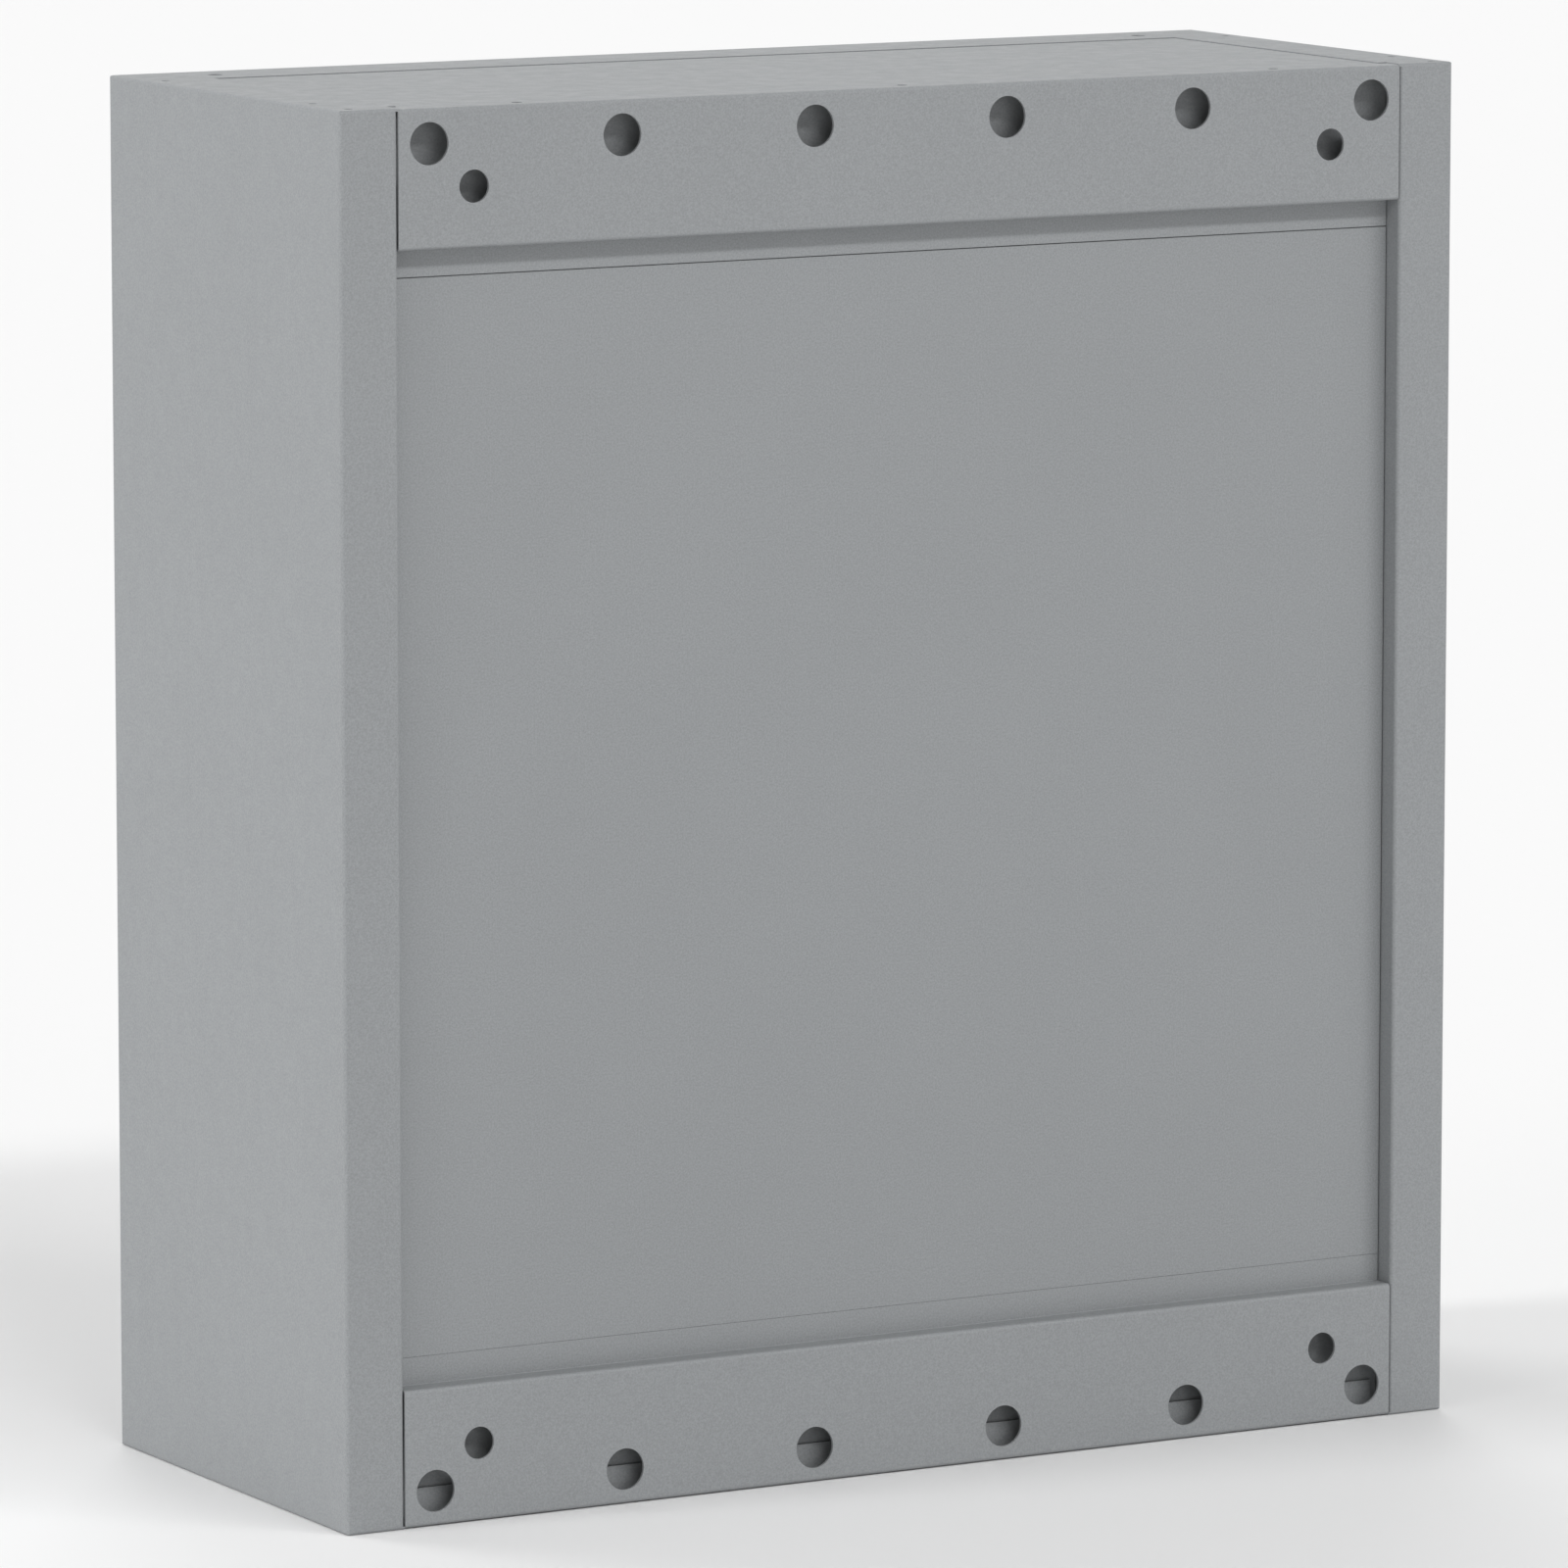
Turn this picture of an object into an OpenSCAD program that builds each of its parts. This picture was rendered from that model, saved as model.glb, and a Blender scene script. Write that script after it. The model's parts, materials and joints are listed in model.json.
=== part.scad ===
/* [Case] */
// Width of the case
case_w = 600; // [590:1:700]
// Height of the case
case_h = 660; // [650:1:800]
// Depth of the case, front frame to rear rails
case_d = 240; // [230:1:320]
// Thickness of the case sheet steel
sheet_t = 1.5; // [1.2:0.1:2]
// Inside radius of every bend in the sheet
bend_r = 0.4; // [0.3:0.05:0.45]

/* [Rear face] */
// Width of each side wall's flange on the rear face
flange_w = 30; // [28:0.5:36]
// Height of the top and bottom rear rails
rail_h = 65.4; // [60:0.1:80]
// Height of the step between a rail and the rear panel
rail_lip_h = 13.2; // [8:0.1:20]
// Depth of the recess that the rear panel lies in
recess_d = 11; // [9:0.5:13]
// Gap between a rail's end and the side flange
rail_gap = 0.5; // [0.4:0.1:1.2]
// Distance of the large rail holes from the centre line
large_hole_x = [51.8, 153.8, 253.9]; // [40:0.1:256]
// Distance of the large rail holes from the case's edge
large_hole_edge = 16.8; // [14:0.1:20]
// Diameter of the large rail holes
large_hole_d = 19.8; // [16:0.1:22]
// Distance of the wall fixing holes from the centre line
fixing_hole_x = 230.9; // [200:0.1:240]
// Distance of the wall fixing holes from the case's edge
fixing_hole_edge = 37.2; // [34:0.1:42]
// Diameter of the wall fixing holes
fixing_hole_d = 15.3; // [8:0.1:16]

/* [Top and bottom] */
// Width of the raised border beside the inset plates
border_w = 35; // [33:0.5:40]
// Width of the raised border at the front
front_band_w = 41; // [38:0.5:50]
// How far the inset plates lie below the border
plate_drop = 0.5; // [0.3:0.1:1]
// Diameter of the small holes in the border
border_hole_d = 4.2; // [3:0.1:6]
// Diameter of the lifting-eye holes in the front band
eye_hole_d = 7; // [5:0.1:9]
// Distance of the inset plate's outer holes from the centre line
plate_hole_x = 204; // [150:1:240]

/* [Door] */
// Width of the frame's face round the door
frame_face_w = 30; // [28:0.5:34]
// Depth of the rebate that the door closes into
rebate_d = 18; // [17:0.5:20]
// Width of the stop that the seal lies on
stop_w = 20; // [18:0.5:24]
// Gap round the door
door_gap = 1.5; // [1.3:0.1:2]
// How far the door lies behind the frame's face
door_setback = 3; // [2.8:0.1:4]
// Depth of the door's folded edge
door_fold = 12; // [11:0.5:13]
// Distance of the lock from the hinge-side edge of the opening
lock_reach = 506; // [500:1:510]

/* [Device rows] */
// Number of device rows, the lowest one for the terminal bars
rows = 4; // [4:1:4]
// Height of a row
row_pitch = 150; // [150:1:160]
// Number of module places in a row
row_modules = 24; // [20:1:24]
// Width of one module place
module_w = 17.5; // [17.5:0.1:18]
// Depth of the rails' front plane behind the frame's face
rail_plane = 90; // [88:1:95]
// Number of single-pole breakers
breakers = 6; // [6:1:6]

/* [Hidden] */
$fn = 48;

bend_steps = 5;
outer_r = bend_r + sheet_t;
half_w = case_w / 2;
half_d = case_d / 2;
front = -half_d;
rear = half_d;

steel_grey = [0.60, 0.62, 0.63];
zinc = [0.75, 0.76, 0.77];
black_rubber = [0.12, 0.12, 0.13];
device_white = [0.90, 0.90, 0.88];
cover_white = [0.86, 0.87, 0.87];
brass = [0.78, 0.62, 0.32];
lever_black = [0.10, 0.10, 0.11];

// Rear face
flange_x = half_w - flange_w + rail_gap / 2;
rail_x = flange_x - rail_gap;
panel_y = rear - recess_d;
panel_gap = 0.5;
panel_foot_gap = 0.1;
lap_gap = 0.4;
seam_z = rail_h + rail_lip_h + panel_gap / 2;
side_lip_w = 4.2;
backing_z = case_h - seam_z - 12;

// Inset plates
border_x = half_w - border_w;
plate_gap = 0.4;
plate_front_gap = 0.15;
band_y = front + front_band_w;
plate_rear_d = 12;

// Front frame and door
opening_x = half_w - frame_face_w;
opening_z = [frame_face_w, case_h - frame_face_w];
stop_y = front + rebate_d;
door_x = opening_x - door_gap;
door_z = [opening_z[0] + door_gap, opening_z[1] - door_gap];
door_y = front + door_setback;
door_lip_w = 12;
hinge_x = door_x - 5.5;
hinge_y = door_y + 4.1;
pin_r = 2;
pin_fit = 0.06;
hinge_block_h = 14;
bush_r = 4;
lock_x = opening_x - lock_reach;
lock_z = case_h / 2;
housing_r = 11;
core_r = 8;
key_square = 3.5;
cam_y = stop_y + sheet_t + 0.7;
cam_t = 3;
cam_l = 28;
cam_w = 14;
cam_screw_r = 1.6;

// Gland tray
gland_x = 190;
gland_y = [-52, 42];
gland_mid_y = (gland_y[0] + gland_y[1]) / 2;
tray_x = flange_x - side_lip_w - lap_gap;
tray_y = [-64, panel_y + lap_gap];
tray_z = plate_drop + sheet_t + 0.2;
tray_up_z = 16.5;
gland_pitch = 46;
gland_r = 12.5;
grommet_x = [for (i = [-3.5:1:3.5]) i * gland_pitch];
gland_screw_x = [-220, 0, 220];
gland_screw_y = [gland_y[0] - 6, gland_y[1] + 14];

// Device rows
row_base = (case_h - rows * row_pitch) / 2;
rail_y = front + rail_plane;
din_depth = 7.5;
din_half_h = 17.5;
din_web_half_h = 13.5;
din_t = 1;
upright_y = rail_y + din_depth;
upright_w = 20;
upright_d = 15;
upright_x = half_w - frame_face_w - stop_w - 2;
din_half_l = upright_x + 8;
shoulder_y = rail_y - 44;
nose_y = shoulder_y - 12;
cover_t = 1.5;
cover_y = shoulder_y - cover_t - 0.5;
cover_half_w = opening_x - stop_w;
slot_half_w = row_modules * module_w / 2 + 2;
slot_half_h = 23.25;
post_x = upright_x - 4;
post_z = 56;
screw_r = 2;

// Devices
device_half_h = 42.5;
nose_half_h = 22.5;
side_play = 0.1;
main_modules = 3;
rcd_modules = 4;
first_x = -row_modules * module_w / 2;
main_x = first_x + main_modules * module_w / 2;
rcd_x = first_x + (main_modules + rcd_modules / 2) * module_w;
breaker_x0 = first_x + (main_modules + rcd_modules + 0.5) * module_w;
used_modules = main_modules + rcd_modules + breakers;
pivot_y = nose_y + 4;
hub_r = 6;
hub_gap = 0.35;
lever_reach = 14;
lever_t = 4;
lever_rest = 40;
window_half_h = 9;
stub_r = 1.5;
stub_fit = 0.05;
stub_l = 1.4;
breaker_lever_w = 9;
rcd_lever_w = 22;
main_lever_w = 36;
terminal_y = rail_y - 28;
button_r = 3;
button_z = -14;
button_x = rcd_x + 18;

// Terminal bars
bar_l = 300;
bar_h = 12;
bar_t = 9;
bar_ways = 14;
bar_way_pitch = 19;
bar_z = 24;
bar_y = rail_y - 22;
holder_x = bar_l / 2 - 16;

function row_z(row) = row_base + (rows - row + 0.5) * row_pitch;

bracket_z = [row_z(rows), row_z(1)];
bracket_h = 40;
bracket_y = upright_y + upright_d;
bracket_t = 2;
bolt_dz = [-12, 12];

// Geometry of bent sheet: a path along one face, the sheet to its left, and round bends at its corners
function unit(v) = v / norm(v);
function left_of(v) = [-v[1], v[0]];
function spun(v, a) = [v[0] * cos(a) - v[1] * sin(a), v[0] * sin(a) + v[1] * cos(a)];
function turn_angle(u, v) = atan2(u[0] * v[1] - u[1] * v[0], u * v);
function bend_arc(corner, u, v, t, offset) =
    let (angle = turn_angle(u, v))
    let (side = sign(angle))
    let (path_r = side > 0 ? bend_r + t : bend_r)
    let (start = corner - u * path_r * tan(abs(angle) / 2))
    let (centre = start + left_of(u) * side * path_r)
    let (face_r = path_r - side * offset)
    [for (i = [0:bend_steps]) centre - left_of(spun(u, angle * i / bend_steps)) * side * face_r];
function sheet_face(path, t, offset) =
    let (last = len(path) - 1)
    let (runs = [for (i = [0:last - 1]) unit(path[i + 1] - path[i])])
    [
        path[0] + left_of(runs[0]) * offset,
        for (i = [1:last - 1]) each bend_arc(path[i], runs[i - 1], runs[i], t, offset),
        path[last] + left_of(runs[last - 1]) * offset
    ];
function reversed(list) = [for (i = [len(list) - 1:-1:0]) list[i]];
function quarter(x, y, r, from) =
    [for (i = [0:bend_steps]) let (a = from + 90 * i / bend_steps) [x + r * cos(a), y + r * sin(a)]];
function rounded_rect(x, y, r) = concat(
    quarter(x[1] - r, y[1] - r, r, 0),
    quarter(x[0] + r, y[1] - r, r, 90),
    quarter(x[0] + r, y[0] + r, r, 180),
    quarter(x[1] - r, y[0] + r, r, 270)
);

module sheet_profile(path, t = sheet_t) {
    polygon(concat(sheet_face(path, t, 0), reversed(sheet_face(path, t, t))));
}

module block(x, y, z) {
    translate([x[0], y[0], z[0]]) cube([x[1] - x[0], y[1] - y[0], z[1] - z[0]]);
}

module along_x(x) {
    translate([x[0], 0, 0]) rotate([90, 0, 90]) linear_extrude(x[1] - x[0]) children();
}

module along_y(y) {
    translate([0, y[1], 0]) rotate([90, 0, 0]) linear_extrude(y[1] - y[0]) children();
}

module along_z(z) {
    translate([0, 0, z[0]]) linear_extrude(z[1] - z[0]) children();
}

module rod_y(x, y, z, r) {
    translate([x, y[0], z]) rotate([-90, 0, 0]) cylinder(h = y[1] - y[0], r = r);
}

module rod_z(x, y, z, r) {
    translate([x, y, z[0]]) cylinder(h = z[1] - z[0], r = r);
}

module rod_x(x, y, z, r) {
    translate([x[0], y, z]) rotate([0, 90, 0]) cylinder(h = x[1] - x[0], r = r);
}

module upside_down() {
    translate([0, 0, case_h]) mirror([0, 0, 1]) children();
}

module both_sides() {
    children();
    mirror([1, 0, 0]) children();
}

module both_ends() {
    children();
    upside_down() children();
}

// The case's outer form, with every edge rounded, drawn in by a distance
module rounded_form(inset, r) {
    x = [-half_w + inset, half_w - inset];
    y = [front + inset, rear - inset];
    z = [inset, case_h - inset];
    intersection() {
        along_z(z) polygon(rounded_rect(x, y, r));
        along_y(y) polygon(rounded_rect(x, z, r));
        along_x(x) polygon(rounded_rect(y, z, r));
    }
}

module case_skin() {
    difference() {
        rounded_form(0, outer_r);
        rounded_form(sheet_t, bend_r);
    }
}

module border_holes() {
    z = [case_h - sheet_t - 1, case_h + 1];
    for (d = [6.5, 42, 195, 231]) rod_z(half_w - 8, rear - d, z, border_hole_d / 2);
}

module side_wall() {
    color(steel_grey) difference() {
        union() {
            intersection() {
                case_skin();
                union() {
                    block([border_x, half_w], [band_y, rear - plate_rear_d], [0, case_h]);
                    block([flange_x + 4, half_w], [rear - plate_rear_d, rear], [0, case_h]);
                    block([half_w - 4, half_w], [front, band_y], [0, case_h]);
                }
            }
            intersection() {
                rounded_form(0, outer_r);
                union() {
                    along_z([0, case_h]) sheet_profile([
                        [flange_x + 4, rear], [flange_x, rear],
                        [flange_x, panel_y - sheet_t], [flange_x - side_lip_w, panel_y - sheet_t]
                    ]);
                    both_ends()
                        block([rail_x + 0.1, flange_x + 4], [rear - plate_rear_d, rear], [0, sheet_t]);
                }
            }
        }
        both_ends() border_holes();
        both_ends() block([flange_x - side_lip_w - 1, flange_x], [panel_y - 2 * sheet_t - 1, rear - 3],
            [backing_z - lap_gap, case_h - sheet_t]);
    }
}

module right_side_wall() {
    side_wall();
}

module left_side_wall() {
    mirror([1, 0, 0]) side_wall();
}

module opening_2d(inset) {
    translate([-opening_x + inset, opening_z[0] + inset])
        square([2 * (opening_x - inset), opening_z[1] - opening_z[0] - 2 * inset]);
}

module front_frame() {
    color(steel_grey) difference() {
        union() {
            intersection() {
                case_skin();
                block([-half_w + 4, half_w - 4], [front, band_y], [0, case_h]);
            }
            along_y([front, stop_y + sheet_t]) difference() {
                opening_2d(-sheet_t);
                opening_2d(0);
            }
            along_y([stop_y, stop_y + sheet_t]) difference() {
                opening_2d(-sheet_t);
                opening_2d(stop_w);
            }
        }
        along_y([front - 1, stop_y]) opening_2d(0);
        both_ends() both_sides() {
            rod_z(half_w - 45, front + 22.5, [case_h - sheet_t - 1, case_h + 1], eye_hole_d / 2);
        }
        rod_z(hinge_x, hinge_y, [opening_z[0] - sheet_t - 1, opening_z[0] + 1], bush_r);
        rod_z(hinge_x, hinge_y, [opening_z[1] - 1, opening_z[1] + sheet_t + 1], bush_r);
    }
}

module rail_holes() {
    y = [rear - sheet_t - 1, rear + 1];
    both_sides() {
        for (x = large_hole_x) rod_y(x, y, case_h - large_hole_edge, large_hole_d / 2);
        rod_y(fixing_hole_x, y, case_h - fixing_hole_edge, fixing_hole_d / 2);
    }
}

// The inset plate, folded down as the rear rail and stepped in to the rear panel
module plate_and_rail() {
    top = case_h - plate_drop;
    edge_x = border_x - plate_gap;
    difference() {
        along_x([-rail_x, rail_x]) sheet_profile([
            [panel_y, case_h - seam_z + panel_gap / 2], [panel_y, case_h - rail_h],
            [rear, case_h - rail_h], [rear, top], [band_y + plate_front_gap, top]
        ]);
        both_sides() block([edge_x, half_w], [front, rear - plate_rear_d + plate_gap], [case_h - 10, case_h]);
        rail_holes();
        for (x = [-plate_hole_x, 0, plate_hole_x])
            rod_z(x, rear - 9, [case_h - sheet_t - 2, case_h + 1], 2.6);
    }
}

module top_wall() {
    color(steel_grey) plate_and_rail();
}

module bottom_wall() {
    color(steel_grey) difference() {
        upside_down() plate_and_rail();
        block([-gland_x, gland_x], gland_y, [-1, tray_z]);
        for (x = gland_screw_x, y = gland_screw_y) rod_z(x, y, [-1, tray_z], screw_r + 0.3);
    }
}

module rear_panel() {
    color(steel_grey) block([panel_gap - flange_x, flange_x - panel_gap], [panel_y - sheet_t, panel_y],
        [seam_z - panel_gap / 2 + panel_foot_gap, case_h - seam_z - panel_gap / 2]);
}

module backing_strip() {
    x = flange_x - lap_gap;
    block([-x, x], [panel_y - 2 * sheet_t, panel_y - sheet_t],
        [backing_z, case_h - plate_drop - sheet_t - 3]);
}

module upper_backing_strip() {
    color(steel_grey) backing_strip();
}

module lower_backing_strip() {
    color(steel_grey) upside_down() backing_strip();
}

module gland_tray() {
    color(steel_grey) difference() {
        along_x([-tray_x, tray_x]) sheet_profile([
            [tray_y[0], tray_up_z], [tray_y[0], tray_z], [tray_y[1], tray_z], [tray_y[1], tray_up_z]
        ]);
        for (x = grommet_x) rod_z(x, gland_mid_y, [0, tray_z + sheet_t + 1], gland_r);
        for (x = gland_screw_x, y = gland_screw_y) rod_z(x, y, [0, tray_z + sheet_t + 1], screw_r + 0.1);
    }
}

// A stepped blind grommet: outer rim, neck in the tray's hole, and a stepped cone closed by a membrane
module cable_grommets() {
    low = tray_z - 1.5;
    top = tray_z + sheet_t;
    color(black_rubber) for (x = grommet_x) translate([x, gland_mid_y, 0])
        rotate_extrude() polygon([
            [0, top + 9], [4, top + 9], [4, top + 6], [7, top + 6], [7, top + 3], [10.5, top + 3],
            [10.5, top + 2], [gland_r + 2.5, top + 2], [gland_r + 2.5, top], [gland_r, top],
            [gland_r, tray_z], [gland_r + 2.5, tray_z], [gland_r + 2.5, low], [9.5, low],
            [9.5, top + 1.6], [6, top + 1.6], [6, top + 4.6], [3, top + 4.6], [3, top + 7.8], [0, top + 7.8]
        ]);
}

module gland_screws() {
    seat = tray_z + sheet_t;
    color(zinc) for (x = gland_screw_x, y = gland_screw_y) {
        rod_z(x, y, [plate_drop, seat], screw_r);
        translate([x, y, seat]) cylinder(h = 3, r = 4.2, $fn = 6);
    }
}

module upright() {
    x = [upright_x - upright_w / 2, upright_x + upright_w / 2];
    y = [upright_y, upright_y + upright_d];
    color(zinc) difference() {
        along_z([14, case_h - 14]) sheet_profile([
            [x[0] + 5, y[1]], [x[0], y[1]], [x[0], y[0]], [x[1], y[0]], [x[1], y[1]], [x[1] - 5, y[1]]
        ]);
        for (row = [1:rows]) {
            rod_y(upright_x, [y[0] - 1, y[0] + sheet_t + 1], row_z(row), screw_r + 0.1);
            for (z = [-post_z, post_z])
                rod_y(post_x, [y[0] - 1, y[0] + sheet_t + 1], row_z(row) + z, screw_r + 0.1);
        }
    }
}

module right_upright() {
    upright();
}

module left_upright() {
    mirror([1, 0, 0]) upright();
}

module upright_brackets() {
    color(zinc) both_sides() for (z = bracket_z) difference() {
        along_z([z - bracket_h / 2, z + bracket_h / 2]) sheet_profile([
            [upright_x - upright_w / 2, bracket_y], [half_w - sheet_t, bracket_y],
            [half_w - sheet_t, bracket_y + 32]
        ], bracket_t);
        for (dz = bolt_dz) rod_y(upright_x, [bracket_y - 1, bracket_y + bracket_t + 1], z + dz, 2.6);
    }
}

// Bolts through the uprights' rear slots: a square plate inside the channel, a nut behind the bracket
module upright_bolts() {
    color(zinc) both_sides() for (z = bracket_z, dz = bolt_dz) translate([upright_x, 0, z + dz]) {
        block([-7, 7], [bracket_y - sheet_t - 2, bracket_y - sheet_t], [-7, 7]);
        rod_y(0, [bracket_y - sheet_t, bracket_y + 8], 0, 2.5);
        translate([0, bracket_y + bracket_t, 0]) rotate([-90, 0, 0]) cylinder(h = 4, r = 4.6, $fn = 6);
    }
}

module din_rail(row) {
    z = row_z(row);
    flange_y = rail_y + din_t;
    color(zinc) difference() {
        along_x([-din_half_l, din_half_l]) sheet_profile([
            [flange_y, z - din_half_h], [flange_y, z - din_web_half_h], [upright_y, z - din_web_half_h],
            [upright_y, z + din_web_half_h], [flange_y, z + din_web_half_h], [flange_y, z + din_half_h]
        ], din_t);
        both_sides() rod_y(upright_x, [upright_y - din_t - 1, upright_y + 1], z, screw_r + 0.1);
    }
}

module din_rail_1() {
    din_rail(1);
}

module din_rail_2() {
    din_rail(2);
}

module din_rail_3() {
    din_rail(3);
}

module din_rail_4() {
    din_rail(4);
}

module din_rail_screws() {
    seat = upright_y - din_t;
    color(zinc) both_sides() for (row = [1:rows]) difference() {
        union() {
            rod_y(upright_x, [seat, upright_y + sheet_t + 4], row_z(row), screw_r);
            rod_y(upright_x, [seat - 2.6, seat], row_z(row), 4);
        }
        for (turn = [0, 90]) translate([upright_x, seat - 2.6, row_z(row)]) rotate([0, turn, 0])
            block([-2.4, 2.4], [-1, 1.2], [-0.45, 0.45]);
    }
}

// A row's cover: a shallow tray with its edges folded back, and a slot for the devices' noses
module row_cover(row, slotted) {
    z = row_z(row);
    edge = row_pitch / 2 - 0.3;
    color(cover_white) difference() {
        block([-cover_half_w, cover_half_w], [cover_y, cover_y + 10], [z - edge, z + edge]);
        block([-cover_half_w + cover_t, cover_half_w - cover_t], [cover_y + cover_t, cover_y + 11],
            [z - edge + cover_t, z + edge - cover_t]);
        if (slotted)
            block([-slot_half_w, slot_half_w], [cover_y - 1, cover_y + 3],
                [z - slot_half_h, z + slot_half_h]);
        both_sides() for (dz = [-post_z, post_z])
            rod_y(post_x, [cover_y - 1, cover_y + 3], z + dz, screw_r + 0.2);
    }
}

module device_cover_1() {
    row_cover(1, true);
}

module device_cover_2() {
    row_cover(2, true);
}

module device_cover_3() {
    row_cover(3, true);
}

module terminal_cover() {
    row_cover(4, false);
}

module cover_posts() {
    color(zinc) both_sides() for (row = [1:rows], dz = [-post_z, post_z])
        translate([post_x, 0, row_z(row) + dz]) difference() {
            union() {
                translate([0, cover_y + cover_t, 0]) rotate([-90, 0, 0])
                    cylinder(h = upright_y - cover_y - cover_t, r = 4.3, $fn = 6);
                rod_y(0, [upright_y, upright_y + 5], 0, screw_r);
            }
            rod_y(0, [cover_y, cover_y + cover_t + 12], 0, screw_r + 0.1);
        }
}

module cover_screws() {
    color(zinc) both_sides() for (row = [1:rows], dz = [-post_z, post_z])
        translate([post_x, 0, row_z(row) + dz]) difference() {
            union() {
                rod_y(0, [cover_y, cover_y + cover_t + 10], 0, screw_r);
                rod_y(0, [cover_y - 2.4, cover_y], 0, 4.5);
            }
            translate([0, cover_y - 2.4, 0]) block([-5, 5], [-1, 1], [-0.6, 0.6]);
        }
}

// A strip over the unused module places, scored at every half module
module blanking_strip(row, from) {
    z = row_z(row);
    places = row_modules - from;
    x = [first_x + from * module_w + 0.3, -first_x];
    lip = 1.5;
    color(device_white) difference() {
        union() {
            block(x, [cover_y - 2, cover_y], [z - slot_half_h - lip, z + slot_half_h + lip]);
            block([x[0], x[1] - 0.5], [cover_y, cover_y + 4], [z - slot_half_h + 0.4, z + slot_half_h - 0.4]);
        }
        block([x[0] - 1, x[1] - 2], [cover_y, cover_y + 5], [z - slot_half_h + 2, z + slot_half_h - 2]);
        for (i = [1:2 * places - 1]) translate([x[0] + i * module_w / 2, 0, 0])
            block([-0.3, 0.3], [cover_y - 3, cover_y - 1.5],
                [z - slot_half_h - 2 * lip, z + slot_half_h + 2 * lip]);
    }
}

module blanking_strips() {
    blanking_strip(1, used_modules);
    blanking_strip(2, 0);
    blanking_strip(3, 0);
}

// A modular device: its side outline, a lever window with pivot sockets, and a cable pocket at each end
module device_body(x, places, lever_w) {
    z = row_z(1);
    half = places * module_w / 2 - side_play;
    back = rail_y + 5.5;
    window = lever_w / 2 + 0.2;
    color(device_white) difference() {
        translate([x, 0, z]) along_x([-half, half]) polygon([
            [back, -device_half_h], [back, -din_half_h - 0.5], [rail_y, -din_half_h - 0.5],
            [rail_y, din_half_h + 0.5], [back, din_half_h + 0.5], [back, device_half_h],
            [shoulder_y, device_half_h], [shoulder_y, nose_half_h], [nose_y + 1, nose_half_h],
            [nose_y, nose_half_h - 1], [nose_y, 1 - nose_half_h], [nose_y + 1, -nose_half_h],
            [shoulder_y, -nose_half_h], [shoulder_y, -device_half_h]
        ]);
        rod_x([x - window, x + window], pivot_y, z, hub_r + hub_gap);
        block([x - window, x + window], [nose_y - 1, pivot_y], [z - window_half_h, z + window_half_h]);
        rod_x([x - window - stub_l - 0.3, x + window + stub_l + 0.3], pivot_y, z, stub_r + stub_fit);
        for (i = [0:places - 1], end = [-1, 1])
            translate([x + (i - (places - 1) / 2) * module_w, terminal_y, z + end * device_half_h])
                cube([9, 9, 20], center = true);
    }
}

// A rocking lever on two pivot stubs, resting in its lower position
module device_lever(x, lever_w) {
    half = lever_w / 2;
    color(lever_black) translate([x, pivot_y, row_z(1)]) rotate([lever_rest, 0, 0]) union() {
        rod_x([-half, half], 0, 0, hub_r);
        rod_x([-half - stub_l, half + stub_l], 0, 0, stub_r);
        along_x([-half, half]) polygon([
            [0, -lever_t / 2], [0, lever_t / 2], [-lever_reach + 1, lever_t / 2 - 0.6],
            [-lever_reach, lever_t / 2 - 1.4], [-lever_reach, 1.4 - lever_t / 2],
            [-lever_reach + 1, 0.6 - lever_t / 2]
        ]);
    }
}

module main_switch_body() {
    device_body(main_x, main_modules, main_lever_w);
}

module main_switch_lever() {
    device_lever(main_x, main_lever_w);
}

module rcd_body() {
    color(device_white) difference() {
        device_body(rcd_x, rcd_modules, rcd_lever_w);
        rod_y(button_x, [nose_y - 1, nose_y + 8], row_z(1) + button_z, button_r + 0.3);
    }
}

module rcd_lever() {
    device_lever(rcd_x, rcd_lever_w);
}

module rcd_test_button() {
    color("gold") rod_y(button_x, [nose_y - 2, nose_y + 5], row_z(1) + button_z, button_r);
}

function breaker_x(i) = breaker_x0 + (i - 1) * module_w;

module breaker_body(i) {
    device_body(breaker_x(i), 1, breaker_lever_w);
}

module breaker_lever(i) {
    device_lever(breaker_x(i), breaker_lever_w);
}

// The comb under the breakers: a bar with one tooth up into each lower cable pocket
module comb_busbar() {
    z = row_z(1) - device_half_h;
    x = [rcd_x + 1.5 * module_w - 3, breaker_x(breakers) + 3];
    color("peru") union() {
        block(x, [terminal_y - 0.8, terminal_y + 0.8], [z - 12, z - 3]);
        for (i = [0:breakers]) translate([breaker_x(i), terminal_y, z])
            block([-2.5, 2.5], [-0.8, 0.8], [-4, 7]);
    }
}

module bar_holders() {
    z = row_z(4);
    color(black_rubber) both_sides() difference() {
        block([holder_x - 6, holder_x + 6], [bar_y - 3, rail_y + 5], [z - 36, z + 36]);
        block([holder_x - 7, holder_x + 7], [rail_y, rail_y + 6],
            [z - din_half_h - 0.3, z + din_half_h + 0.3]);
        for (end = [-1, 1]) block([holder_x - 7, holder_x + 7], [bar_y - 4, bar_y + bar_t],
            [z + end * bar_z - bar_h / 2, z + end * bar_z + bar_h / 2]);
    }
}

function way_x(i) = (i - (bar_ways - 1) / 2) * bar_way_pitch;

module terminal_bar(z) {
    color(brass) difference() {
        block([-bar_l / 2, bar_l / 2], [bar_y, bar_y + bar_t], [z - bar_h / 2, z + bar_h / 2]);
        for (i = [0:bar_ways - 1]) {
            rod_z(way_x(i), bar_y + bar_t / 2, [z - bar_h, z + bar_h], 2.6);
            rod_y(way_x(i), [bar_y - 1, bar_y + bar_t / 2], z, screw_r + 0.1);
        }
    }
}

module neutral_bar() {
    terminal_bar(row_z(4) + bar_z);
}

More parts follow.
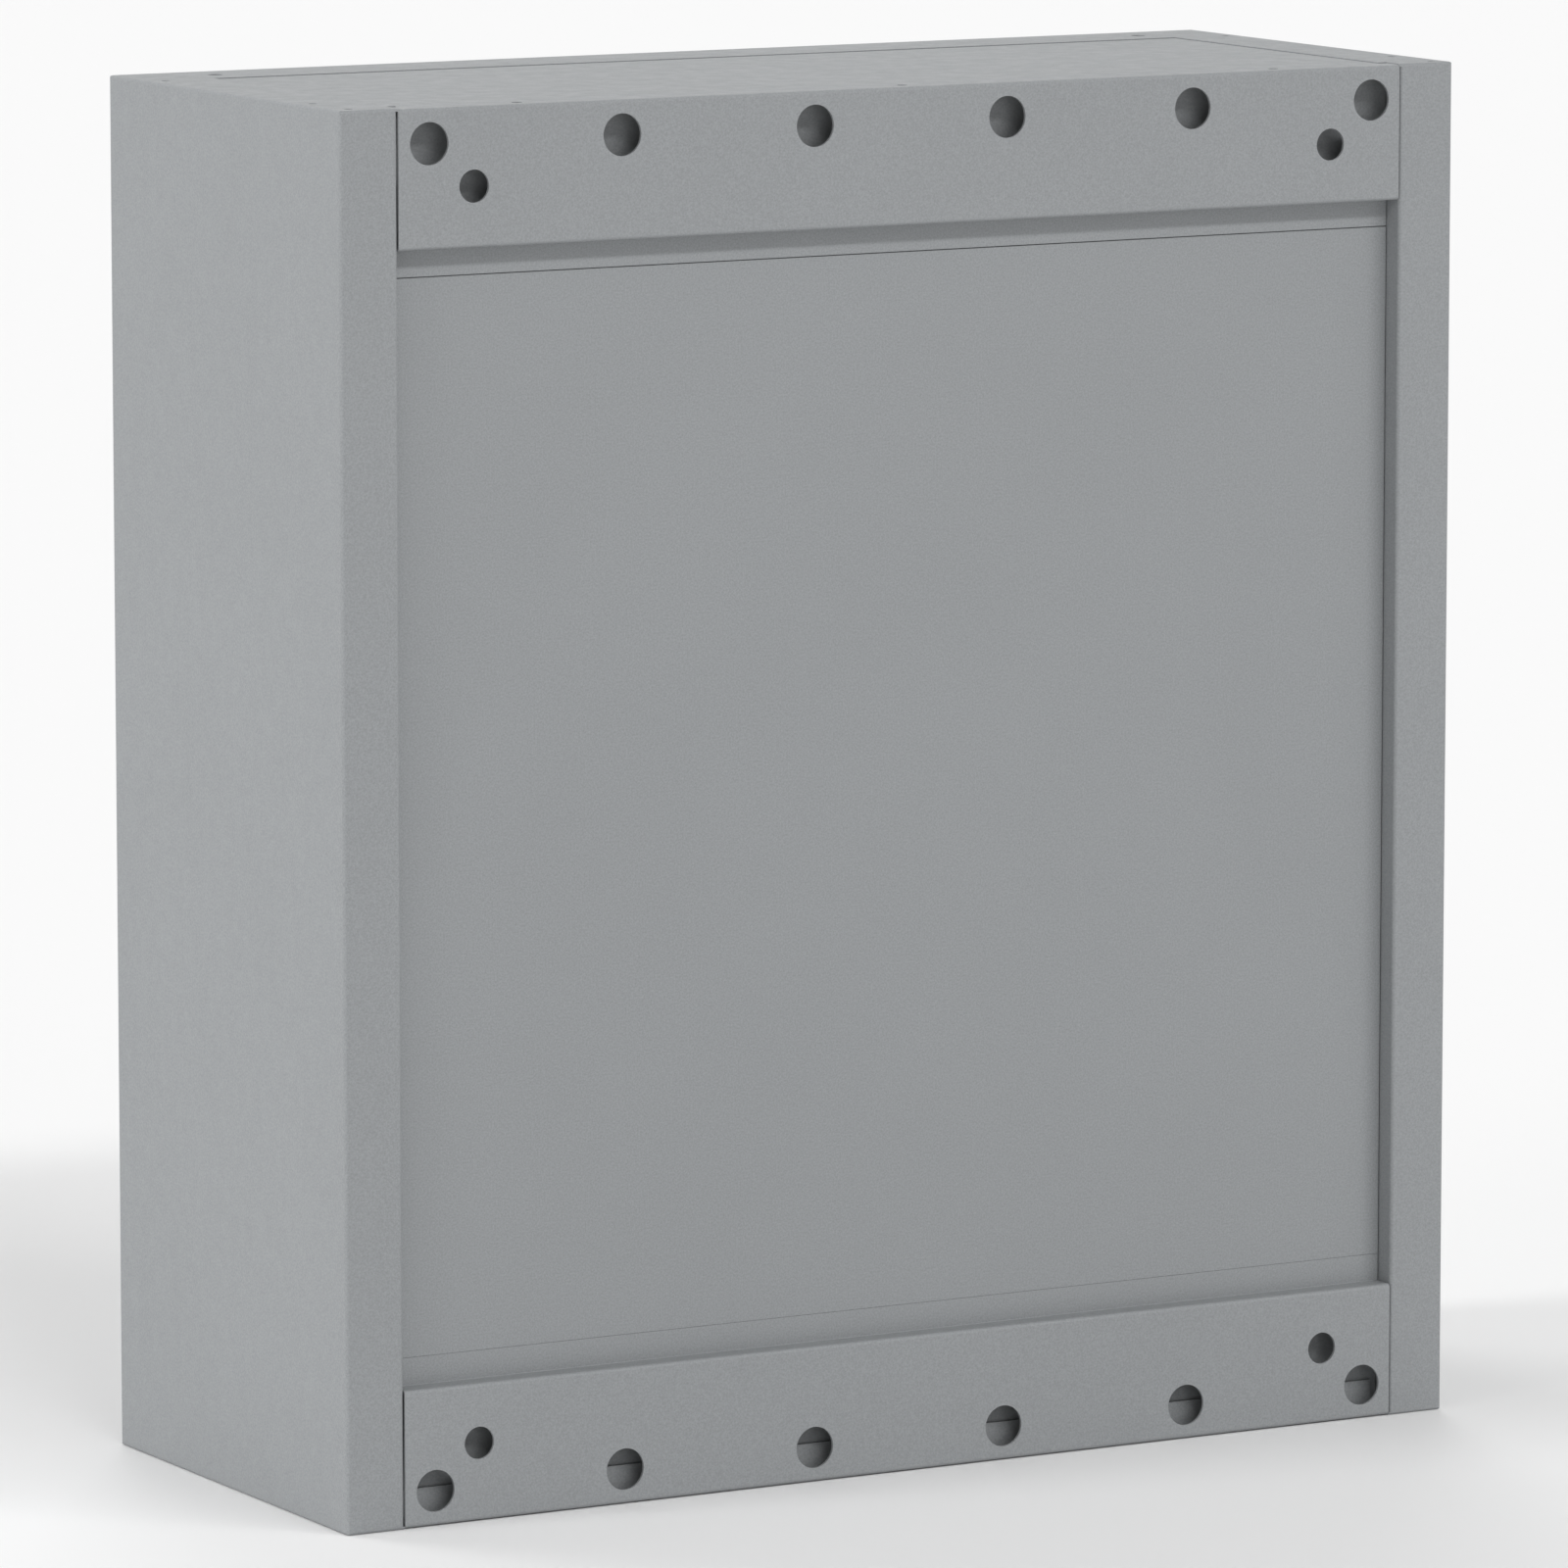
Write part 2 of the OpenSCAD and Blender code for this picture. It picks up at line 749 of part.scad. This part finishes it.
module earth_bar() {
    terminal_bar(row_z(4) - bar_z);
}

module terminal_screws() {
    color(zinc) for (i = [0:bar_ways - 1], end = [-1, 1])
        translate([way_x(i), 0, row_z(4) + end * bar_z]) difference() {
            union() {
                rod_y(0, [bar_y - 2, bar_y + 2.2], 0, screw_r);
                rod_y(0, [bar_y - 4, bar_y - 2], 0, 3.2);
            }
            translate([0, bar_y - 4, 0]) block([-4, 4], [-1, 0.9], [-0.5, 0.5]);
        }
}

// The door: a pan with folded edges, and a lip turned in behind them
module door_outline(inset) {
    translate([-door_x + inset, door_z[0] + inset])
        square([2 * (door_x - inset), door_z[1] - door_z[0] - 2 * inset]);
}

module door_panel() {
    back = door_y + door_fold;
    color(steel_grey) difference() {
        intersection() {
            along_y([door_y, back]) door_outline(0);
            along_z(door_z) polygon(rounded_rect([-door_x, door_x], [door_y, back + 20], outer_r));
            along_x([-door_x, door_x]) polygon(rounded_rect([door_y, back + 20], door_z, outer_r));
        }
        along_y([door_y + sheet_t, back - sheet_t]) door_outline(sheet_t);
        along_y([door_y + sheet_t, back + 1]) door_outline(door_lip_w);
        rod_y(lock_x, [door_y - 1, door_y + 3], lock_z, housing_r + 0.1);
        rod_z(hinge_x, hinge_y, [door_z[0] - 1, door_z[0] + 3], pin_r);
        rod_z(hinge_x, hinge_y, [door_z[1] - 3, door_z[1] + 1], pin_r);
    }
}

module door_stiffeners() {
    y = door_y + sheet_t;
    color(steel_grey) both_sides() along_z([door_z[0] + 26, door_z[1] - 26]) sheet_profile([
        [157, y + sheet_t], [147, y + sheet_t], [147, y + 10],
        [123, y + 10], [123, y + sheet_t], [113, y + sheet_t]
    ]);
}

module door_seal() {
    color(black_rubber) along_y([stop_y - 2.7, stop_y]) difference() {
        opening_2d(stop_w - 7);
        opening_2d(stop_w - 1);
    }
}

// A block in each hinge-side corner of the door that holds the pivot pin
module hinge_blocks() {
    color(zinc) both_ends() difference() {
        block([hinge_x - 9, door_x - sheet_t], [door_y + sheet_t, door_y + door_fold - sheet_t],
            [door_z[0] + sheet_t, door_z[0] + sheet_t + hinge_block_h]);
        rod_z(hinge_x, hinge_y, [door_z[0], door_z[0] + 20], pin_r);
    }
}

module hinge_pins() {
    color(zinc) both_ends()
        rod_z(hinge_x, hinge_y, [opening_z[0] - 6, door_z[0] + sheet_t + hinge_block_h], pin_r);
}

module hinge_bushes() {
    z = opening_z[0];
    color(black_rubber) both_ends() difference() {
        union() {
            rod_z(hinge_x, hinge_y, [z - 8, z], bush_r);
            rod_z(hinge_x, hinge_y, [z - sheet_t - 1.5, z - sheet_t], bush_r + 1.2);
        }
        rod_z(hinge_x, hinge_y, [z - 7, z + 1], pin_r + pin_fit);
    }
}

// A quarter-turn lock: flanged housing through the door, nut behind it, and a core that carries the cam
module lock_housing() {
    color(zinc) difference() {
        union() {
            rod_y(lock_x, [front + 0.2, door_y], lock_z, housing_r + 3);
            rod_y(lock_x, [door_y, cam_y - 1], lock_z, housing_r);
        }
        rod_y(lock_x, [front - 1, cam_y], lock_z, core_r - 1.2);
        rod_y(lock_x, [front + 1.2, cam_y], lock_z, core_r + 0.06);
    }
}

module lock_nut() {
    y = door_y + sheet_t;
    color(zinc) translate([lock_x, y, lock_z]) difference() {
        rotate([-90, 0, 0]) cylinder(h = 5, r = 15.5, $fn = 6);
        rod_y(0, [-1, 6], 0, housing_r + 0.05);
    }
}

// The core's face has the slot for a double-bit key
module lock_core() {
    color(zinc) difference() {
        union() {
            rod_y(lock_x, [front + 1.3, cam_y - 0.3], lock_z, core_r);
            translate([lock_x, 0, lock_z])
                block([-key_square, key_square], [cam_y - 1, cam_y + cam_t], [-key_square, key_square]);
        }
        difference() {
            rod_y(lock_x, [front, front + 7], lock_z, 5.5);
            rod_y(lock_x, [front - 1, front + 8], lock_z, 2);
        }
        rod_y(lock_x, [cam_y - 6, cam_y + cam_t + 1], lock_z, cam_screw_r);
    }
}

module lock_cam() {
    color(zinc) difference() {
        union() {
            rod_y(lock_x, [cam_y, cam_y + cam_t], lock_z, cam_w / 2);
            block([lock_x - cam_w / 2, lock_x + cam_w / 2], [cam_y, cam_y + cam_t], [lock_z, lock_z + cam_l]);
        }
        translate([lock_x, 0, lock_z])
            block([-key_square, key_square], [cam_y - 1, cam_y + cam_t + 1], [-key_square, key_square]);
    }
}

module cam_screw() {
    y = cam_y + cam_t;
    color(zinc) union() {
        rod_y(lock_x, [y - 8, y], lock_z, cam_screw_r);
        translate([lock_x, y, lock_z]) rotate([-90, 0, 0]) cylinder(h = 3, r = 5.5, $fn = 6);
    }
}

right_side_wall();
left_side_wall();
front_frame();
top_wall();
bottom_wall();
rear_panel();
upper_backing_strip();
lower_backing_strip();
gland_tray();
cable_grommets();
gland_screws();
left_upright();
right_upright();
upright_brackets();
upright_bolts();
din_rail_1();
din_rail_2();
din_rail_3();
din_rail_4();
din_rail_screws();
device_cover_1();
device_cover_2();
device_cover_3();
terminal_cover();
cover_posts();
cover_screws();
blanking_strips();
main_switch_body();
main_switch_lever();
rcd_body();
rcd_lever();
rcd_test_button();
breaker_body(1);  // breaker_1_body
breaker_body(2);  // breaker_2_body
breaker_body(3);  // breaker_3_body
breaker_body(4);  // breaker_4_body
breaker_body(5);  // breaker_5_body
breaker_body(6);  // breaker_6_body
breaker_lever(1);  // breaker_1_lever
breaker_lever(2);  // breaker_2_lever
breaker_lever(3);  // breaker_3_lever
breaker_lever(4);  // breaker_4_lever
breaker_lever(5);  // breaker_5_lever
breaker_lever(6);  // breaker_6_lever
comb_busbar();
bar_holders();
neutral_bar();
earth_bar();
terminal_screws();
door_panel();
door_stiffeners();
door_seal();
hinge_blocks();
hinge_pins();
hinge_bushes();
lock_housing();
lock_nut();
lock_core();
lock_cam();
cam_screw();
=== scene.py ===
import json
import math
import bmesh
import bpy
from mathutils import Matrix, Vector


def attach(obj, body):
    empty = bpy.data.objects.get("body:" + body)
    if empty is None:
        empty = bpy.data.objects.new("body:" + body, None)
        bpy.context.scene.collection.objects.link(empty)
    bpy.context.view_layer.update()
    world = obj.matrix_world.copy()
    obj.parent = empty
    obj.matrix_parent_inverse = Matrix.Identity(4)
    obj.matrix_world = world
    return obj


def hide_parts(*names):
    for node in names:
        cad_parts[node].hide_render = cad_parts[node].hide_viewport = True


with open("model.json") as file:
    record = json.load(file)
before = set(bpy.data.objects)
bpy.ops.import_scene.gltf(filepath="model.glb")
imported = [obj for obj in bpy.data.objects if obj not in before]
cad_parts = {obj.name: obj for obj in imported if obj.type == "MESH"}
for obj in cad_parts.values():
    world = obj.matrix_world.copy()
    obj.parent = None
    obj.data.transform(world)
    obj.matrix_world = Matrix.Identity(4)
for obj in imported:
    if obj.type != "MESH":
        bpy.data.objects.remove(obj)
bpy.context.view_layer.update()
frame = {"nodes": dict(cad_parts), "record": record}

MM = 0.001
PAINT = (0.277, 0.288, 0.296)
NODE_SLOT = {part["node"]: part["material_slot"] for part in frame["record"]["subparts"]}
NODE_BODY = {node: body for body, nodes in frame["record"]["behaviour"]["bodies"].items() for node in nodes}


# ---------------------------------------------------------------- materials

class Recipe:
    """A principled material under construction, in object coordinates, so that sizes are in metres."""

    def __init__(self, name, colour, roughness, metallic=0.0, specular=0.5):
        self.material = bpy.data.materials.new(name)
        self.material.use_nodes = True
        self.tree = self.material.node_tree
        self.shader = self.tree.nodes["Principled BSDF"]
        self.shader.inputs["Base Color"].default_value = (*colour, 1)
        self.shader.inputs["Roughness"].default_value = roughness
        self.shader.inputs["Metallic"].default_value = metallic
        self.shader.inputs["Specular IOR Level"].default_value = specular
        self.colour = colour
        self.coords = self.add("ShaderNodeTexCoord").outputs["Object"]
        self.height = None

    def add(self, kind, **values):
        node = self.tree.nodes.new(kind)
        for key, value in values.items():
            setattr(node, key, value)
        return node

    def link(self, start, end):
        self.tree.links.new(start, end)

    def noise(self, size, detail=2.0, roughness=0.5, stretch=None):
        """Noise with features of about that size in metres, 0 to 1. stretch scales the coordinates first."""
        node = self.add("ShaderNodeTexNoise")
        node.inputs["Scale"].default_value = 1.0 / size
        node.inputs["Detail"].default_value = detail
        node.inputs["Roughness"].default_value = roughness
        source = self.coords
        if stretch:
            mapping = self.add("ShaderNodeMapping")
            mapping.inputs["Scale"].default_value = stretch
            self.link(source, mapping.inputs["Vector"])
            source = mapping.outputs["Vector"]
        self.link(source, node.inputs["Vector"])
        return node.outputs["Fac"]

    def spread(self, value, low, high, start=0.3, end=0.7):
        """Maps a texture's start..end range onto low..high."""
        node = self.add("ShaderNodeMapRange")
        for name, number in (("From Min", start), ("From Max", end), ("To Min", low), ("To Max", high)):
            node.inputs[name].default_value = number
        self.link(value, node.inputs["Value"])
        return node.outputs["Result"]

    def multiply(self, a, b):
        node = self.add("ShaderNodeMath", operation="MULTIPLY")
        self.link(a, node.inputs[0])
        self.link(b, node.inputs[1])
        return node.outputs[0]

    def shade(self, *factors):
        """Multiplies the base colour by the product of the factors."""
        factor = factors[0]
        for other in factors[1:]:
            factor = self.multiply(factor, other)
        node = self.add("ShaderNodeVectorMath", operation="SCALE")
        node.inputs[0].default_value = self.colour
        self.link(factor, node.inputs["Scale"])
        self.link(node.outputs["Vector"], self.shader.inputs["Base Color"])

    def vary_roughness(self, value):
        self.link(value, self.shader.inputs["Roughness"])

    def bump(self, value, depth, strength=1.0):
        """Adds relief of that depth in metres on top of any earlier relief."""
        node = self.add("ShaderNodeBump")
        node.inputs["Distance"].default_value = depth
        node.inputs["Strength"].default_value = strength
        self.link(value, node.inputs["Height"])
        if self.height:
            self.link(self.height, node.inputs["Normal"])
        self.height = node.outputs["Normal"]
        self.link(self.height, self.shader.inputs["Normal"])


def powder_coat(name, colour, grain=0.13, orange_peel=0.03 * MM):
    """Fine-textured semi-matt powder coat: fine grain, broad mottling and shallow orange peel."""
    r = Recipe(name, colour, 0.52, specular=0.35)
    fine = r.noise(0.9 * MM, detail=3.0, roughness=0.65)
    broad = r.noise(70 * MM, detail=2.0)
    r.shade(r.spread(fine, 1 - grain, 1 + grain), r.spread(broad, 0.99, 1.01))
    r.vary_roughness(r.spread(r.noise(9 * MM), 0.46, 0.60))
    r.bump(r.noise(2.6 * MM, detail=1.0), orange_peel)
    r.bump(fine, 0.012 * MM)
    return r.material


def zinc_plate(name, colour):
    """Bright zinc: faint cloudy variation and a fine drawn grain."""
    r = Recipe(name, colour, 0.34, metallic=1.0)
    cloud = r.noise(7 * MM, detail=3.0)
    streak = r.noise(1.2 * MM, detail=2.0, stretch=(0.06, 1.0, 1.0))
    r.shade(r.spread(cloud, 0.90, 1.04), r.spread(streak, 0.95, 1.03))
    r.vary_roughness(r.spread(cloud, 0.27, 0.42))
    r.bump(streak, 0.006 * MM)
    return r.material


def drawn_metal(name, colour, roughness):
    """Drawn brass or rolled copper, with long streaks and light tarnish."""
    r = Recipe(name, colour, roughness, metallic=1.0)
    streak = r.noise(0.8 * MM, detail=2.0, stretch=(0.03, 1.0, 1.0))
    tarnish = r.noise(12 * MM, detail=4.0, roughness=0.6)
    r.shade(r.spread(streak, 0.94, 1.03), r.spread(tarnish, 0.84, 1.04))
    r.vary_roughness(r.spread(tarnish, roughness + 0.12, roughness - 0.04))
    r.bump(streak, 0.008 * MM)
    return r.material


def moulded_plastic(name, colour, roughness, texture=0.02 * MM):
    """Injection-moulded plastic with a spark-eroded texture and slight gloss change."""
    r = Recipe(name, colour, roughness, specular=0.45)
    spark = r.noise(0.35 * MM, detail=2.0)
    cloud = r.noise(18 * MM)
    r.shade(r.spread(cloud, 0.975, 1.02), r.spread(spark, 0.985, 1.015))
    r.vary_roughness(r.spread(r.noise(4 * MM), roughness - 0.05, roughness + 0.06))
    r.bump(spark, texture)
    return r.material


def foam_rubber(name, colour):
    """Matt closed-cell rubber with a pitted skin."""
    r = Recipe(name, colour, 0.82, specular=0.25)
    pits = r.noise(0.7 * MM, detail=3.0, roughness=0.7)
    r.shade(r.spread(pits, 0.75, 1.35), r.spread(r.noise(14 * MM), 0.85, 1.15))
    r.bump(pits, 0.05 * MM)
    return r.material


MATERIALS = {
    "case_powder_coat": powder_coat("case_powder_coat", PAINT),
    "door_powder_coat": powder_coat("door_powder_coat", PAINT),
    "cover_paint": powder_coat("cover_paint", (0.72, 0.73, 0.71), grain=0.015, orange_peel=0.02 * MM),
    "zinc_plate": zinc_plate("zinc_plate", (0.66, 0.67, 0.68)),
    "lock_chrome": zinc_plate("lock_chrome", (0.58, 0.58, 0.59)),
    "seal_rubber": foam_rubber("seal_rubber", (0.022, 0.022, 0.024)),
    "strip_plastic": moulded_plastic("strip_plastic", (0.64, 0.65, 0.63), 0.48),
    "device_plastic": moulded_plastic("device_plastic", (0.70, 0.70, 0.66), 0.45),
    "lever_black": moulded_plastic("lever_black", (0.02, 0.02, 0.022), 0.32, 0.008 * MM),
    "lever_red": moulded_plastic("lever_red", (0.42, 0.02, 0.018), 0.32, 0.008 * MM),
    "button_yellow": moulded_plastic("button_yellow", (0.78, 0.50, 0.03), 0.32, 0.008 * MM),
    "holder_plastic": moulded_plastic("holder_plastic", (0.03, 0.03, 0.033), 0.5),
    "bar_brass": drawn_metal("bar_brass", (0.72, 0.52, 0.22), 0.30),
    "comb_copper": drawn_metal("comb_copper", (0.78, 0.40, 0.24), 0.32),
}

# ------------------------------------------------- finished copies of the CAD nodes

EDGE_RADIUS = {
    "case_powder_coat": 0.12 * MM, "door_powder_coat": 0.15 * MM, "cover_paint": 0.2 * MM,
    "zinc_plate": 0.12 * MM, "lock_chrome": 0.3 * MM, "seal_rubber": 0.6 * MM, "strip_plastic": 0.18 * MM,
    "device_plastic": 0.3 * MM, "lever_black": 0.4 * MM, "lever_red": 0.4 * MM, "button_yellow": 0.4 * MM,
    "holder_plastic": 0.4 * MM, "bar_brass": 0.25 * MM, "comb_copper": 0.15 * MM,
}
WELD = 1e-6
FLAT = math.radians(0.4)
SHARP = math.radians(32)


def finished(node):
    """A node's own shape, welded, its triangles joined into flat faces and its sharp edges broken."""
    slot = NODE_SLOT[node]
    mesh = frame["nodes"][node].data.copy()
    mesh.name = node + "_finished"
    imported_normals = mesh.attributes.get("custom_normal")
    if imported_normals:
        mesh.attributes.remove(imported_normals)
    shape = bmesh.new()
    shape.from_mesh(mesh)
    bmesh.ops.remove_doubles(shape, verts=shape.verts, dist=WELD)
    bmesh.ops.dissolve_limit(shape, angle_limit=FLAT, verts=shape.verts, edges=shape.edges)
    for face in shape.faces:
        face.smooth = True
    for edge in shape.edges:
        edge.smooth = True
    shape.to_mesh(mesh)
    shape.free()
    piece = bpy.data.objects.new(node + "_finished", mesh)
    bpy.context.scene.collection.objects.link(piece)
    mesh.materials.clear()
    mesh.materials.append(MATERIALS[slot])
    bevel = piece.modifiers.new("broken_edges", "BEVEL")
    bevel.width = EDGE_RADIUS[slot]
    bevel.segments = 2
    bevel.limit_method = "ANGLE"
    bevel.angle_limit = SHARP
    weighted = piece.modifiers.new("flat_faces", "WEIGHTED_NORMAL")
    weighted.mode = "FACE_AREA"
    weighted.weight = 50
    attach(piece, NODE_BODY[node])
    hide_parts(node)
    return piece


for cad_node in sorted(NODE_SLOT):
    finished(cad_node)


# ---------------------------------------------------------------- stage, light and camera

FLOOR_HALF = 40.0
FLOOR_COLOUR = (0.86, 0.86, 0.86)
WORLD_STRENGTH = 0.42
BANK_LAMPS = 10
BANK_START = -1.0
BANK_WIDTH = 1.3
BANK_HEIGHT = 0.9
BANK_STRENGTH = 0.46
BANK_SOFTNESS = 6
# name, direction that the light comes from, strength, softness in degrees
SINGLE_LAMPS = [
    ("rear_low", (-0.1, 1, 0.14), 0.04, 18),
    ("side_light", (1, -0.12, 0.36), 0.40, 14),
    ("side_rear", (1, 0.35, 0.3), 0.09, 14),
    ("front_left", (-0.42, -0.9, 0.84), 0.19, 25),
    ("front_right", (0.5, -0.87, 0.84), 0.19, 25),
]
CAMERA_PLACE = (2.5092, 4.4690, 1.0554)
CAMERA_YAW = -2.63019
CAMERA_PITCH = -0.14342
CAMERA_LENS = 247.06


def stage_floor():
    mesh = bpy.data.meshes.new("floor")
    h = FLOOR_HALF
    mesh.from_pydata([(-h, -h, 0), (h, -h, 0), (h, h, 0), (-h, h, 0)], [], [(0, 1, 2, 3)])
    floor = bpy.data.objects.new("floor", mesh)
    bpy.context.scene.collection.objects.link(floor)
    recipe = Recipe("pale_floor", FLOOR_COLOUR, 0.9, specular=0.1)
    mesh.materials.append(recipe.material)


def sun(name, towards, strength, softness_deg):
    """A white sun whose light comes from the direction towards."""
    data = bpy.data.lights.new(name, "SUN")
    data.energy = strength * math.pi
    data.angle = math.radians(softness_deg)
    lamp = bpy.data.objects.new(name, data)
    lamp.rotation_mode = "QUATERNION"
    lamp.rotation_quaternion = Vector(towards).to_track_quat("Z", "Y")
    bpy.context.scene.collection.objects.link(lamp)


def studio_light():
    """White surroundings, a long bank of light facing the rear, and the single lamps."""
    world = bpy.data.worlds.new("studio")
    bpy.context.scene.world = world
    world.use_nodes = True
    background = world.node_tree.nodes["Background"]
    background.inputs["Color"].default_value = (1, 1, 1, 1)
    background.inputs["Strength"].default_value = WORLD_STRENGTH
    for i in range(BANK_LAMPS):
        sideways = BANK_START + BANK_WIDTH * i / (BANK_LAMPS - 1)
        sun(f"rear_bank_{i}", (sideways, 1, BANK_HEIGHT), BANK_STRENGTH / BANK_LAMPS, BANK_SOFTNESS)
    for lamp in SINGLE_LAMPS:
        sun(*lamp)


def camera():
    data = bpy.data.cameras.new("camera")
    data.sensor_width = 36
    data.lens = CAMERA_LENS
    data.clip_start = 0.1
    data.clip_end = 200
    lens = bpy.data.objects.new("camera", data)
    level = math.cos(CAMERA_PITCH)
    look = Vector((math.sin(CAMERA_YAW) * level, math.cos(CAMERA_YAW) * level, math.sin(CAMERA_PITCH)))
    lens.location = CAMERA_PLACE
    lens.rotation_mode = "QUATERNION"
    lens.rotation_quaternion = look.to_track_quat("-Z", "Y")
    bpy.context.scene.collection.objects.link(lens)
    bpy.context.scene.camera = lens


stage_floor()
studio_light()
camera()
bpy.context.scene.view_settings.view_transform = "Standard"
